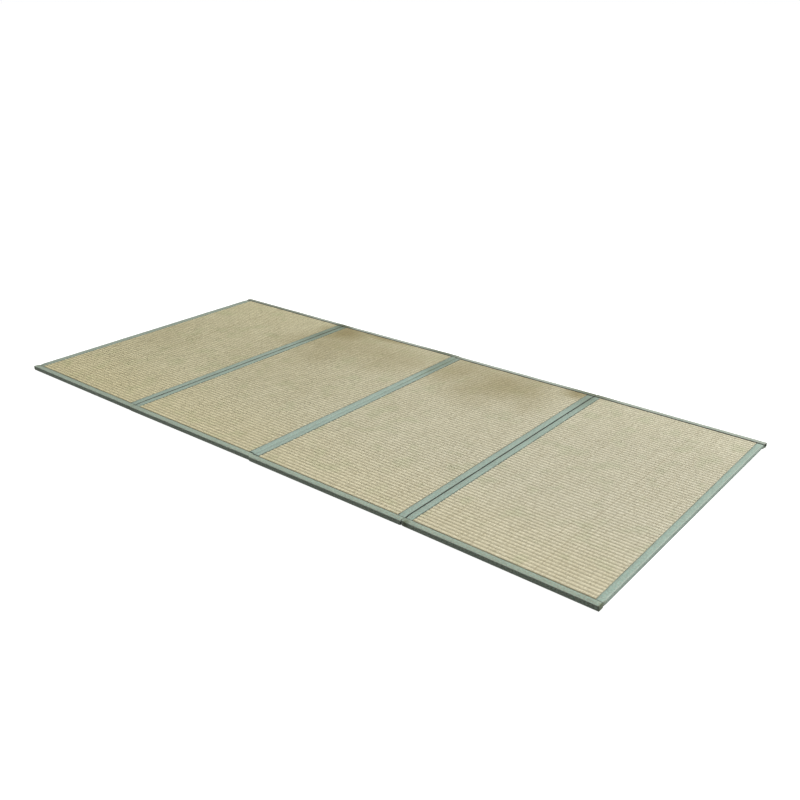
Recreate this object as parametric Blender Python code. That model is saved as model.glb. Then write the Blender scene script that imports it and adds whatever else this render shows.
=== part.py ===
"""A folding rush mat, lying open and flat on the floor.

Four rush-faced panels lie end to end. A cloth strip is folded round each of a panel's four
edges, and three hinge tapes join the panels. X runs along the mat, the front long edge is at
-Y, and the floor is Z = 0. All sizes are in metres.
"""

import bmesh
import bpy
from math import cos, pi, radians, sin

# The mat as a whole
LENGTH = 2.000
WIDTH = 0.900
THICKNESS = 0.015
PANELS = 4
JOINT_GAP = 0.0020
CLEAR = 0.0003

# How each panel lies: how far its front and back edges are pushed along Y at its two ends.
# Columns: left end, right end. The real panels are a few millimetres out of line.
PANEL_LIE = (
    (-0.0020, -0.0006),
    (-0.0015, 0.0030),
    (0.0000, 0.0012),
    (0.0022, -0.0030),
)

# Binding cloth, folded round an edge
CLOTH = 0.0012
LONG_STRIP = 0.0170
CROWN = 0.0008
CROWN_SHARES = (0.25, 0.50, 0.75, 1.0)
TOP_ROUND = 0.0025
SOFT_ROUND = 0.0045
TOP_ROUND_STEPS = 3
BOTTOM_ROUND = 0.0030
BOTTOM_ROUND_STEPS = 2
TUCK = CLOTH + CLEAR
STRIP_TOP = THICKNESS - CROWN
TUCKED_TOP = STRIP_TOP - TUCK
TUCKED_BOTTOM = TUCK

# Where a short-edge strip goes down under the long-edge strips, measured along Y
UNDER_RUN = 0.0020
SLOPE_RUN = 0.0150
SHOULDER = 0.0045
SIDE = 0.0028
TUCK_Y = WIDTH / 2 - LONG_STRIP - UNDER_RUN
LEVEL_Y = WIDTH / 2 - LONG_STRIP - SLOPE_RUN
SHOULDER_Y = WIDTH / 2 - SHOULDER
SIDE_Y = WIDTH / 2 - SIDE
END_TOP = 0.0102
END_BOTTOM = 0.0026
END_ROUND = 0.0030

# Rounded ends of the long-edge strips, seen from above
CORNER_INSET = 0.0012
CORNER_RUN = 0.0040

# Rush face
RIBS = 74
SEAM = 0.0005
RIB_VALLEY = 0.0130
RIB_HEIGHT = 0.0011
RIB_SHAPE = ((0.0, 0.0), (0.22, 0.80), (0.5, 1.0), (0.78, 0.80))
PAD_EDGE_DROP = 0.0024
PAD_EDGE_RISE = 0.0010
PAD_SIDE_LOW = 0.0045
PAD_SIDE_HIGH = 0.0085

# Hinge tapes. Columns of the groove: distance from the joint, height above the strip level.
TAPE_HALF = 0.0185
TAPE_SHORTFALL = 0.0015
TAPE_END_Y = WIDTH / 2 - LONG_STRIP - TAPE_SHORTFALL
TAPE_GROOVE = (
    (0.0185, 0.0000),
    (0.0110, 0.0004),
    (0.0050, 0.0000),
    (0.0025, -0.0009),
    (0.0000, -0.0022),
)

# The strips on the panels' short edges, from the mat's left end to its right end. Columns: the
# strip's top and bottom level away from the corners, its crown, its width on the face and the
# rounding of its upper edge, which is softer where a tape sinks into the joint.
EDGE_KINDS = {
    "left_end": (STRIP_TOP, 0.0, CROWN, 0.0210, TOP_ROUND),
    "tape_below": (STRIP_TOP, TUCK, CROWN, 0.0200, TOP_ROUND),
    "tape_above": (TUCKED_TOP, 0.0, 0.0, 0.0180, SOFT_ROUND),
    "right_end": (STRIP_TOP, 0.0, CROWN, 0.0160, TOP_ROUND),
}
MEETINGS = ("left_end", "tape_below", "tape_above", "tape_below", "right_end")

PANEL_LENGTH = (LENGTH - (PANELS - 1) * JOINT_GAP) / PANELS

# Colours, as linear red, green, blue
RUSH_COLOUR = (0.52, 0.48, 0.32)
BINDING_COLOUR = (0.26, 0.36, 0.31)
TAPE_COLOUR = (0.22, 0.32, 0.29)


def clear_scene():
    for thing in list(bpy.data.objects):
        bpy.data.objects.remove(thing)


def cloth_material(name, colour, roughness):
    material = bpy.data.materials.new(name)
    material.use_nodes = True
    shader = material.node_tree.nodes["Principled BSDF"]
    shader.inputs["Base Color"].default_value = (*colour, 1.0)
    shader.inputs["Roughness"].default_value = roughness
    shader.inputs["Metallic"].default_value = 0.0
    return material


def add_solid(name, mesh, material):
    """A named object from a closed bmesh, with its faces turned outwards."""
    bmesh.ops.recalc_face_normals(mesh, faces=mesh.faces[:])
    data = bpy.data.meshes.new(name)
    mesh.to_mesh(data)
    mesh.free()
    data.materials.append(material)
    solid = bpy.data.objects.new(name, data)
    bpy.context.scene.collection.objects.link(solid)
    return solid


def bridge(mesh, first, second):
    """Quads between two rings of vertices that have the same count."""
    count = len(first)
    for i in range(count):
        j = (i + 1) % count
        mesh.faces.new((first[i], first[j], second[j], second[i]))


def loft(rings):
    """A closed body through rings of points, capped at both ends."""
    mesh = bmesh.new()
    made = [[mesh.verts.new(point) for point in ring] for ring in rings]
    for first, second in zip(made, made[1:]):
        bridge(mesh, first, second)
    mesh.faces.new(made[0])
    mesh.faces.new(made[-1])
    return mesh


def panel_left(panel):
    return -LENGTH / 2 + panel * (PANEL_LENGTH + JOINT_GAP)


def pushed(panel, x, y):
    """Y of a point of this panel, with the panel out of line as it lies."""
    left_push, right_push = PANEL_LIE[panel]
    share = (x - panel_left(panel)) / PANEL_LENGTH
    return y + left_push + (right_push - left_push) * share


def edge_kind(panel, side):
    """The kind of strip on this panel's left (-1) or right (+1) edge."""
    return MEETINGS[panel] if side < 0 else MEETINGS[panel + 1]


def arc(centre, radius, start, end, steps):
    """Points of an arc between two angles in degrees."""
    found = []
    for step in range(steps + 1):
        angle = radians(start + (end - start) * step / steps)
        found.append((centre[0] + radius * cos(angle), centre[1] + radius * sin(angle)))
    return found


def folded_strip(top, bottom, crown, width, top_round, bottom_round):
    """Section of a strip folded round an edge, as (distance in from the edge, height)."""

    def surface(depth):
        low_centre = (bottom_round, bottom + bottom_round)
        high_centre = (top_round, top - top_round)
        low = arc(low_centre, bottom_round - depth, 270, 180, BOTTOM_ROUND_STEPS)
        high = arc(high_centre, top_round - depth, 180, 90, TOP_ROUND_STEPS)
        under = [(width, bottom + depth)]
        over = []
        for share in CROWN_SHARES:
            inward = top_round + (width - top_round) * share
            over.append((inward, top - depth + crown * sin(pi * share)))
        return under + low + high + over

    return surface(0.0) + surface(CLOTH)[::-1]


def long_binding(panel, side):
    """The strip on the front (-1) or back (+1) edge of a panel."""
    section = folded_strip(STRIP_TOP, 0.0, CROWN, LONG_STRIP, TOP_ROUND, BOTTOM_ROUND)
    left = panel_left(panel)
    right = left + PANEL_LENGTH
    stations = (
        (left, CORNER_INSET),
        (left + CORNER_RUN, 0.0),
        (right - CORNER_RUN, 0.0),
        (right, CORNER_INSET),
    )
    rings = []
    for x, inset in stations:
        ring = []
        for inward, height in section:
            # The rounding fades out towards the strip's inner edge, which stays straight.
            drawn_in = inset * (1 - inward / LONG_STRIP)
            y = side * (WIDTH / 2 - inward - drawn_in)
            ring.append((x, pushed(panel, x, y), height))
        rings.append(ring)
    return loft(rings)


def short_binding(panel, side):
    """The strip on the left (-1) or right (+1) edge of a panel."""
    top, bottom, crown, width, top_round = EDGE_KINDS[edge_kind(panel, side)]
    half = (
        (SIDE_Y, END_TOP, END_BOTTOM, 0.0, width, END_ROUND, END_ROUND),
        (SHOULDER_Y, TUCKED_TOP, TUCKED_BOTTOM, 0.0, width, top_round, BOTTOM_ROUND),
        (TUCK_Y, TUCKED_TOP, TUCKED_BOTTOM, 0.0, width, top_round, BOTTOM_ROUND),
        (LEVEL_Y, top, bottom, crown, width, top_round, BOTTOM_ROUND),
    )
    stations = [(-row[0], *row[1:]) for row in half] + list(half[::-1])
    edge = panel_left(panel) if side < 0 else panel_left(panel) + PANEL_LENGTH
    rings = []
    for y, *shape in stations:
        ring = []
        for inward, height in folded_strip(*shape):
            x = edge - side * inward
            ring.append((x, pushed(panel, x, y), height))
        rings.append(ring)
    return loft(rings)


def half_ring(points, mirror_y):
    """Points of one side of a section, mirrored in Y and turned round where asked."""
    return [(-y, z) for y, z in points[::-1]] if mirror_y else list(points)


def pad_edge_section(kind, drop, rise):
    """Section of a panel under its short-edge strip, as two chains: under and over."""
    top, bottom = EDGE_KINDS[kind][:2]
    under = [
        (LEVEL_Y, bottom + TUCK + rise),
        (TUCK_Y, TUCKED_BOTTOM + TUCK + rise),
        (SHOULDER_Y, TUCKED_BOTTOM + TUCK + rise),
        (SIDE_Y, END_BOTTOM + TUCK + rise),
        (SIDE_Y, PAD_SIDE_LOW + rise),
    ]
    over = [
        (SIDE_Y, PAD_SIDE_HIGH - drop),
        (SIDE_Y, END_TOP - TUCK - drop),
        (SHOULDER_Y, TUCKED_TOP - TUCK - drop),
        (TUCK_Y, TUCKED_TOP - TUCK - drop),
        (LEVEL_Y, top - TUCK - drop),
    ]
    lower = half_ring(under, True) + half_ring(under, False)
    upper = half_ring(over, False) + half_ring(over, True)
    return lower, upper


def rush_section():
    """Section of a panel's open face: flat beneath, ribbed above, thinner at its sides."""
    face_y = WIDTH / 2 - LONG_STRIP - SEAM
    under = [
        (face_y, 0.0),
        (face_y, TUCKED_BOTTOM),
        (WIDTH / 2 - BOTTOM_ROUND, TUCKED_BOTTOM),
        (SIDE_Y, BOTTOM_ROUND),
        (SIDE_Y, PAD_SIDE_LOW),
    ]
    over = [
        (SIDE_Y, PAD_SIDE_HIGH),
        (SIDE_Y, STRIP_TOP - TOP_ROUND),
        (SHOULDER_Y, TUCKED_TOP),
        (face_y, TUCKED_TOP),
    ]
    pitch = 2 * face_y / RIBS
    ribs = []
    for rib in range(RIBS):
        for along, up in RIB_SHAPE:
            ribs.append((face_y - (rib + along) * pitch, RIB_VALLEY + RIB_HEIGHT * up))
    ribs.append((-face_y, RIB_VALLEY))
    lower = half_ring(under, True) + half_ring(under, False)
    upper = half_ring(over, False) + ribs + half_ring(over, True)
    return lower, upper


def rush_panel(panel):
    """The rush face and its pad: ribbed between the strips, thinner beneath them."""
    left = panel_left(panel)
    right = left + PANEL_LENGTH
    mesh = bmesh.new()

    def chain(x, points):
        return [mesh.verts.new((x, pushed(panel, x, y), z)) for y, z in points]

    face_lower, face_upper = rush_section()
    face_rings = []
    for side, edge in ((-1, left), (1, right)):
        kind = edge_kind(panel, side)
        width = EDGE_KINDS[kind][3]
        outer_x = edge - side * TUCK
        shoulder_x = edge - side * SHOULDER
        face_x = edge - side * (width + SEAM)
        outer_lower, outer_upper = pad_edge_section(kind, PAD_EDGE_DROP, PAD_EDGE_RISE)
        lower, upper = pad_edge_section(kind, 0.0, 0.0)
        outer = chain(outer_x, outer_lower + outer_upper)
        shoulder = chain(shoulder_x, lower + upper)
        mesh.faces.new(outer)
        bridge(mesh, outer, shoulder)
        edge_lower = chain(face_x, lower)
        edge_upper = chain(face_x, upper)
        bridge(mesh, shoulder, edge_lower + edge_upper)
        # The face's section shares its four side points with the thinner edge's section.
        face_under = chain(face_x, face_lower[1:-1])
        face_over = chain(face_x, face_upper[1:-1])
        mesh.faces.new(edge_lower + face_under[::-1])
        mesh.faces.new(edge_upper + face_over[::-1])
        ring = [edge_lower[0]] + face_under + [edge_lower[-1]]
        ring += [edge_upper[0]] + face_over + [edge_upper[-1]]
        face_rings.append(ring)
    bridge(mesh, *face_rings)
    return mesh


def tape_section(above):
    """Section of a hinge tape, as (distance from the joint, height), upper side first."""
    if above:
        level = STRIP_TOP
        half = TAPE_GROOVE
    else:
        level = CLOTH
        half = ((TAPE_HALF, 0.0), (0.0, 0.0))
    over = [(-across, level + lift) for across, lift in half]
    over += [(across, level + lift) for across, lift in half[-2::-1]]
    return over + [(across, height - CLOTH) for across, height in over[::-1]]


def hinge_tape(joint):
    """The tape over or under a joint, between the long-edge strips."""
    centre = panel_left(joint + 1) - JOINT_GAP / 2
    section = tape_section(edge_kind(joint, 1) == "tape_above")
    rings = []
    for y in (-TAPE_END_Y, TAPE_END_Y):
        ring = []
        for across, height in section:
            x = centre + across
            sides = [joint] * (across <= 0) + [joint + 1] * (across >= 0)
            lie = sum(pushed(panel, x, y) for panel in sides) / len(sides)
            ring.append((x, lie, height))
        rings.append(ring)
    return loft(rings)


clear_scene()
rush = cloth_material("rush", RUSH_COLOUR, 0.75)
binding = cloth_material("binding_twill", BINDING_COLOUR, 0.85)
tape = cloth_material("hinge_twill", TAPE_COLOUR, 0.85)

for number in range(PANELS):
    prefix = f"panel_{number + 1}"
    add_solid(f"{prefix}_rush", rush_panel(number), rush)
    add_solid(f"{prefix}_left_binding", short_binding(number, -1), binding)
    add_solid(f"{prefix}_right_binding", short_binding(number, 1), binding)
    add_solid(f"{prefix}_front_binding", long_binding(number, -1), binding)
    add_solid(f"{prefix}_back_binding", long_binding(number, 1), binding)

for number in range(PANELS - 1):
    add_solid(f"hinge_tape_{number + 1}", hinge_tape(number), tape)
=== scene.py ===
"""A folding rush mat, lying open on a pale floor.

Four panels lie end to end: each is a firm pad with a woven rush face, bound on its four edges
with folded strips of green twill. Three tapes of the same twill hinge the panels together.
All sizes are in metres. X runs along the mat, and the front long edge is at -Y.
"""

import bpy
import numpy as np
from math import cos, pi, radians, tan
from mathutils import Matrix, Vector


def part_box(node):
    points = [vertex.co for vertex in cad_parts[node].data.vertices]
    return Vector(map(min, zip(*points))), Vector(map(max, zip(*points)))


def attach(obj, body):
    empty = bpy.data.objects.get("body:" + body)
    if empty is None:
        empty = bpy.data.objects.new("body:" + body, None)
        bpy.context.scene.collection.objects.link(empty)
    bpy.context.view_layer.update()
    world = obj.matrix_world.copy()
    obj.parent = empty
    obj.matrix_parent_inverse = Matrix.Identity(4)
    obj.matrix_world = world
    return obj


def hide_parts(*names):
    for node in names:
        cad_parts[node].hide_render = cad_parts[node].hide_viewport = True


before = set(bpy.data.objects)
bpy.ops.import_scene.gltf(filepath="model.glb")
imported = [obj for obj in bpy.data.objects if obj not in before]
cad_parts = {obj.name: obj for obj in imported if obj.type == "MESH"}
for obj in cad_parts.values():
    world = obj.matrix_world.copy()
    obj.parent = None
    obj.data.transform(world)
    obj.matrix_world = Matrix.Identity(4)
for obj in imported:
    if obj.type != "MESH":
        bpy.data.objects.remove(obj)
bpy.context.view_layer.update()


# Pads
# A firm pad fills each panel. It is thinner where the bindings grip its edges, and its
# underside is pressed into the same ribs as the face. Nobody sees its top: the rush covers it.
MAT_WIDTH = 0.900
LONG_STRIP = 0.0170
SHORT_STRIPS = (0.0210, 0.0200, 0.0180, 0.0200, 0.0160)
SEAM = 0.0005
FACE_Y = MAT_WIDTH / 2 - LONG_STRIP - SEAM
RIBS = 74
PANELS = (1, 2, 3, 4)
PANEL_LIE = {1: (-0.0020, -0.0006), 2: (-0.0015, 0.0030), 3: (0.0, 0.0012), 4: (0.0022, -0.0030)}
PAD_TOP = 0.0125
PAD_GRIPPED = (0.0034, 0.0108)
PAD_SIDE = 0.0026
PAD_RIB_DEPTH = 0.0007
PAD_SHARP_ANGLE = radians(40)

# The backing's colours, the spacing and stretch of its stripes and the scale of its patches, how
# much stripes and patches count in its tone, and the heights over which it darkens.
STRAW_SHADE = (0.26, 0.22, 0.12)
BACKING = (0.46, 0.42, 0.28)
BACKING_PALE = (0.62, 0.58, 0.42)
STEM_SPACING = 0.00133
STRIPE_STRETCH = 0.06
BACKING_PATCHES = 9.0
BACKING_TONES = (0.7, 0.5)
DARKENING_HEIGHTS = (0.0010, 0.0030)
BACKING_BUMP = {"Strength": 0.6, "Distance": 0.0004}
BACKING_SURFACE = {"Roughness": 0.7, "Specular IOR Level": 0.3}

panel_ends = {}
face_ends = {}
for number in PANELS:
    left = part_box(f"panel_{number}_left_binding")[0].x
    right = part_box(f"panel_{number}_right_binding")[1].x
    panel_ends[number] = (left, right)
    face_ends[number] = (left + SHORT_STRIPS[number - 1] + SEAM, right - SHORT_STRIPS[number] - SEAM)


def out_of_line(number, x):
    """How far a panel is pushed along Y at x, because the panels lie a little out of line."""
    return np.interp(x, panel_ends[number], PANEL_LIE[number])


def add_mesh(name, points, faces, material):
    """A smooth mesh object with one material, made of points and faces."""
    mesh = bpy.data.meshes.new(name)
    mesh.from_pydata([tuple(point) for point in points], [], faces)
    mesh.shade_smooth()
    mesh.materials.append(material)
    made = bpy.data.objects.new(name, mesh)
    bpy.context.scene.collection.objects.link(made)
    return made


def lay_node(tree, kind, inputs=None, **settings):
    """A node with its settings. Each of its inputs is a value or another node's output."""
    made = tree.nodes.new(kind)
    for name, value in settings.items():
        setattr(made, name, value)
    for key, value in (inputs or {}).items():
        if isinstance(value, bpy.types.NodeSocket):
            tree.links.new(value, made.inputs[key])
        else:
            made.inputs[key].default_value = value
    return made


def reckon(tree, operation, *values):
    """The result of a Math node on values or other nodes' outputs."""
    return lay_node(tree, "ShaderNodeMath", dict(enumerate(values)), operation=operation).outputs[0]


def add_up(tree, start, values, shares):
    """A start, with each of the values times its share added to it."""
    total = start
    for value, share in zip(values, shares):
        total = reckon(tree, "MULTIPLY_ADD", value, share, total)
    return total


def parts_of(tree, vector):
    """The X, Y and Z of a vector."""
    return lay_node(tree, "ShaderNodeSeparateXYZ", {0: vector}).outputs


def drawn_out(tree, place, stretch):
    """A place for a pattern that is drawn out along Y."""
    sockets = {"Vector": place, "Scale": (1.0, stretch, 1.0)}
    return lay_node(tree, "ShaderNodeMapping", sockets).outputs[0]


def blend_colour(tree, amount, first, second, way="MIX"):
    """Two colours mixed by an amount from 0 to 1."""
    sockets = {0: amount, 6: first, 7: second}
    made = lay_node(tree, "ShaderNodeMix", sockets, data_type="RGBA", blend_type=way)
    return made.outputs[2]


def speckle(tree, place, scale, detail=2.0, roughness=0.5):
    """Noise from 0 to 1 whose lumps are about one over scale wide."""
    sockets = {"Vector": place, "Scale": scale, "Detail": detail, "Roughness": roughness}
    return lay_node(tree, "ShaderNodeTexNoise", sockets).outputs["Fac"]


def between(tree, value, low, high, start=0.0, end=1.0):
    """A value's smooth way from start to end, as it goes from low to high."""
    sockets = {"Value": value, 1: low, 2: high, 3: start, 4: end}
    kind = "ShaderNodeMapRange"
    return lay_node(tree, kind, sockets, interpolation_type="SMOOTHSTEP").outputs[0]


def new_material(name):
    """A material, its node tree, its shader and a place on the object."""
    material = bpy.data.materials.new(name)
    material.use_nodes = True
    tree = material.node_tree
    shader = tree.nodes["Principled BSDF"]
    place = tree.nodes.new("ShaderNodeTexCoord").outputs["Object"]
    return material, tree, shader, place


def opaque(colour):
    """A colour that nothing shows through."""
    return (*colour, 1.0)


def set_values(shader, values):
    """Set a shader's inputs by their names."""
    for name, value in values.items():
        shader.inputs[name].default_value = value


def finish_shader(tree, shader, colour, relief, bump, surface):
    """Give a shader its colour, the bumps of its fine relief, and its other values."""
    tree.links.new(colour, shader.inputs["Base Color"])
    bumps = lay_node(tree, "ShaderNodeBump", {**bump, "Height": relief})
    tree.links.new(bumps.outputs[0], shader.inputs["Normal"])
    set_values(shader, surface)


def pad_material():
    """Plain rush backing: ribs along X, with the stems' pale and dark stripes across them."""
    material, tree, shader, place = new_material("rush_backing")
    stripes = speckle(tree, drawn_out(tree, place, STRIPE_STRETCH), 1 / STEM_SPACING, 1.0)
    patches = speckle(tree, place, BACKING_PATCHES, 3.0)
    tone = add_up(tree, 0.0, (stripes, patches), BACKING_TONES)
    colour = blend_colour(tree, tone, opaque(BACKING), opaque(BACKING_PALE))
    height = parts_of(tree, place)[2]
    darker = between(tree, height, *DARKENING_HEIGHTS)
    colour = blend_colour(tree, darker, colour, opaque(STRAW_SHADE))
    finish_shader(tree, shader, colour, stripes, BACKING_BUMP, BACKING_SURFACE)
    return material


def pad_section(gripped):
    """A pad's section as (Y, height), gripped by the bindings or standing between them."""
    low, high = PAD_GRIPPED
    side = MAT_WIDTH / 2 - PAD_SIDE
    pitch = 2 * FACE_Y / RIBS
    under = []
    for half_rib in range(1, 2 * RIBS):
        lift = PAD_RIB_DEPTH * (half_rib % 2 == 0)
        under.append((-FACE_Y + half_rib * pitch / 2, low if gripped else lift))
    ends = [(-FACE_Y, low), (-FACE_Y, low if gripped else PAD_RIB_DEPTH)]
    face_top = high if gripped else PAD_TOP
    over = [(side, high), (FACE_Y, high), (FACE_Y, face_top), (-FACE_Y, face_top)]
    over += [(-FACE_Y, high), (-side, high), (-side, low)]
    return ends + under + [(FACE_Y, ends[1][1]), (FACE_Y, low), (side, low)] + over


def make_pad(number, material):
    """A closed pad, stretched between its sections at the panel's ends."""
    left, right = panel_ends[number]
    face_left, face_right = face_ends[number]
    stations = (
        (left + PAD_SIDE, True),
        (face_left, True),
        (face_left, False),
        (face_right, False),
        (face_right, True),
        (right - PAD_SIDE, True),
    )
    points = []
    for x, gripped in stations:
        points += [(x, y + out_of_line(number, x), z) for y, z in pad_section(gripped)]
    count = len(pad_section(True))
    faces = []
    for ring in range(len(stations) - 1):
        for i in range(count):
            j = (i + 1) % count
            a, b = ring * count, (ring + 1) * count
            faces.append((a + i, b + i, b + j, a + j))
    faces.append(tuple(range(count)))
    faces.append(tuple(range(len(points) - 1, len(points) - count - 1, -1)))
    pad = add_mesh(f"panel_{number}_pad", points, faces, material)
    pad.data.set_sharp_from_angle(angle=PAD_SHARP_ANGLE)
    return pad


backing = pad_material()
pads = {}
for number in PANELS:
    pads[number] = make_pad(number, backing)
    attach(pads[number], "root")
    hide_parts(f"panel_{number}_rush")


# Rush faces
# A face is woven of dried rush stems laid side by side across the mat. Each stem goes over one
# rib and under the next, and its neighbours do the opposite, so that a rib is a row of small
# rounded grains. Every stem is one ribbon from the front binding to the back one.
STEMS = 640
STEM_FULL = 0.00143
STEM_WAIST = 0.00069
RIB_VALLEY = 0.0130
RIB_HEIGHT = 0.0011
GRAIN_LIFT = 0.00014
GRAIN_TILT = 0.00010
GRAIN_SHIFT = 0.00007
FACE_SEED = 11
MAP_MARGIN = 0.01

# A stem's points come in waves of four rows over two ribs. The middle two rows are on a rib's
# crest. The first row's place and the step to the next are counted in ribs.
ROWS_PER_WAVE = 4
MIDDLE_OF_WAVE = 1.5
FIRST_ROW = 0.05
ROW_STEP = 0.30
NUMBERS_PER_STEM = 1000

# The rush's colours, the scales of its uneven tones, and how much fine noise, the stem, the
# grain, clouds and fibres count in them.
STRAW = (0.50, 0.455, 0.30)
STRAW_PALE = (0.77, 0.735, 0.56)
STRAW_GREEN = (0.51, 0.53, 0.34)
STRAW_BROWN = (0.30, 0.23, 0.11)
RUSH_SHADOW_BROWN = (0.36, 0.30, 0.145)
FIBRE_STRETCH = 0.05
FIBRE_SCALE = 3200.0
FINE_SCALE = 260.0
CLOUD_SCALE = 7.0
HUE_SCALE = 17.0
RUSH_TONE_START = -0.36
RUSH_TONES = (0.75, 0.20, 0.40, 0.30, 0.12)
RUSH_BUMP = {"Strength": 0.7, "Distance": 0.0003}
RUSH_SURFACE = {"Specular IOR Level": 0.4}
FIBRE_RELIEF = 0.25

# Where a look of the rush begins and is full, and how strong it is at each end if not 0 and 1.
GREENISH = (0.50, 0.72, 0.0, 0.45)
BROWN_STEMS = (0.030, 0.0, 0.0, 0.5)
DARK_STEM = (0.0021, 0.0010)
VALLEY_SHADE = (0.0, 0.8, 0.42, 0.0)
RIM_SHADE = (0.0, 0.0036, 0.95, 0.0)
RUSH_ROUGHNESS = (0.3, 0.7, 0.52, 0.68)
LIGHT_FALLOFF_ALONG = (-1.1, 0.9)
PALE_ACROSS = (0.15, 0.45)
WARM_ACROSS = (-0.10, -0.45)
PATCH_BORDER = (1.4, 0.4)
PATCH_UNEVENNESS = 0.8

# Painted light and shade: the rush is darker and yellower towards the mat's left end, where the
# light falls off, paler along its back and warmer in front, as the light falls on it.
LEFT_END_SHADE_TINT = (0.975, 0.955, 0.85)
RIGHT_END_LIT_TINT = (1.0, 1.0, 1.03)
PALE_BACK = (1.06, 1.065, 1.05)
WARM_FRONT = (1.04, 1.015, 0.95)

# Where painted shadow darkens and browns the rush.
# Columns: middle X and Y, reach along X and Y, and how strongly.
RUSH_PAINTED_SHADOWS = (
    (-0.44, 0.39, 0.16, 0.18, 0.95),
    (-0.30, 0.43, 0.24, 0.05, 0.75),
    (-0.38, 0.27, 0.30, 0.24, 0.56),
    (-0.18, 0.32, 0.24, 0.20, 0.48),
    (0.06, 0.36, 0.16, 0.22, 0.58),
    (0.24, 0.35, 0.26, 0.26, 0.72),
    (0.46, 0.43, 0.10, 0.08, 0.85),
    (-0.40, 0.05, 0.40, 0.32, 0.16),
    (-0.93, -0.05, 0.20, 0.30, 0.20),
)

# Single stems that are darker all along. Columns: X, and how strongly.
DARK_STEMS = (
    (0.837, 0.28),
    (0.805, 0.17),
    (0.866, 0.14),
    (0.853, 0.13),
    (0.894, 0.13),
    (0.956, 0.11),
    (0.401, 0.18),
    (0.110, 0.17),
    (-0.106, 0.13),
    (-0.812, 0.35),
    (-0.744, 0.25),
)


def painted_shadow_share(tree, place, patches, unevenness):
    """How far a place lies in painted shadow, in patches with uneven borders."""
    apart = parts_of(tree, place)
    total = None
    for *middle, reach_x, reach_y, strength in patches:
        off = []
        for at, reach, value in zip(middle, (reach_x, reach_y), apart):
            step = reckon(tree, "MULTIPLY_ADD", value, 1 / reach, -at / reach)
            off.append(reckon(tree, "MULTIPLY", step, step))
        away = reckon(tree, "SQRT", reckon(tree, "ADD", *off))
        away = reckon(tree, "MULTIPLY_ADD", unevenness, PATCH_UNEVENNESS, away)
        share = between(tree, away, *PATCH_BORDER, 0.0, strength)
        total = share if total is None else reckon(tree, "MAXIMUM", total, share)
    return total


def rush_material():
    """Dried rush: pale straw stems of uneven tone, some of them brown, with a satin skin."""
    material, tree, shader, place = new_material("woven_rush")

    def own(name):
        return lay_node(tree, "ShaderNodeAttribute", attribute_name=name).outputs["Fac"]

    across = own("across")
    fibres = speckle(tree, drawn_out(tree, place, FIBRE_STRETCH), FIBRE_SCALE)
    fine = speckle(tree, place, FINE_SCALE)
    clouds = speckle(tree, place, CLOUD_SCALE, 3.0)
    hues = speckle(tree, place, HUE_SCALE)
    uneven = (fine, own("stem_tone"), own("grain_tone"), clouds, fibres)
    tone = add_up(tree, RUSH_TONE_START, uneven, RUSH_TONES)
    colour = blend_colour(tree, tone, opaque(STRAW), opaque(STRAW_PALE))
    green = between(tree, hues, *GREENISH)
    colour = blend_colour(tree, green, colour, opaque(STRAW_GREEN))

    along_mat, across_mat, _ = parts_of(tree, place)
    # Painted light and shade: darker and yellower towards the left end, paler at the back, warmer in
    # front.
    lit_share = between(tree, along_mat, *LIGHT_FALLOFF_ALONG)
    tint = blend_colour(tree, lit_share, opaque(LEFT_END_SHADE_TINT), opaque(RIGHT_END_LIT_TINT))
    colour = blend_colour(tree, 1.0, colour, tint, "MULTIPLY")
    at_back = between(tree, across_mat, *PALE_ACROSS)
    colour = blend_colour(tree, at_back, colour, opaque(PALE_BACK), "MULTIPLY")
    in_front = between(tree, across_mat, *WARM_ACROSS)
    colour = blend_colour(tree, in_front, colour, opaque(WARM_FRONT), "MULTIPLY")
    # Painted shadows darken and brown the rush in patches.
    in_painted_shadow = painted_shadow_share(tree, place, RUSH_PAINTED_SHADOWS, clouds)
    colour = blend_colour(tree, in_painted_shadow, colour, opaque(RUSH_SHADOW_BROWN))
    brown = between(tree, own("stem_tone"), *BROWN_STEMS)
    for at, strength in DARK_STEMS:
        off = reckon(tree, "ABSOLUTE", reckon(tree, "SUBTRACT", along_mat, at))
        brown = reckon(tree, "MAXIMUM", brown, between(tree, off, *DARK_STEM, 0.0, strength))
    colour = blend_colour(tree, brown, colour, opaque(STRAW_BROWN))
    valley = between(tree, own("crest"), *VALLEY_SHADE)
    beside_seam = between(tree, own("rim"), *RIM_SHADE)
    shaded = reckon(tree, "MAXIMUM", valley, beside_seam)
    colour = blend_colour(tree, shaded, colour, opaque(STRAW_SHADE))
    round_side = reckon(tree, "SUBTRACT", 1.0, reckon(tree, "MULTIPLY", across, across))
    relief = reckon(tree, "MULTIPLY_ADD", fibres, FIBRE_RELIEF, reckon(tree, "SQRT", round_side))
    finish_shader(tree, shader, colour, relief, RUSH_BUMP, RUSH_SURFACE)
    rough = between(tree, fibres, *RUSH_ROUGHNESS)
    tree.links.new(rough, shader.inputs["Roughness"])
    return material


def new_tree(name, counts, sizes, material):
    """A node tree with a named input for each count and size and for its material."""
    tree = bpy.data.node_groups.new(name, "GeometryNodeTree")
    taken = [("Geometry", "Geometry")]
    taken += [(count, "Int") for count in counts]
    taken += [(size, "Float") for size in sizes]
    taken += [(material, "Material")]
    for given, kind in taken:
        tree.interface.new_socket(given, in_out="INPUT", socket_type=f"NodeSocket{kind}")
    tree.interface.new_socket("Geometry", in_out="OUTPUT", socket_type="NodeSocketGeometry")
    return tree, tree.nodes.new("NodeGroupInput").outputs


def end_tree(tree, geometry, material):
    """What a node tree gives: real geometry in one material."""
    real = lay_node(tree, "GeometryNodeRealizeInstances", {0: geometry}).outputs[0]
    made = lay_node(tree, "GeometryNodeSetMaterial", {0: real, 2: material}).outputs[0]
    lay_node(tree, "NodeGroupOutput", {0: made})


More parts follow.
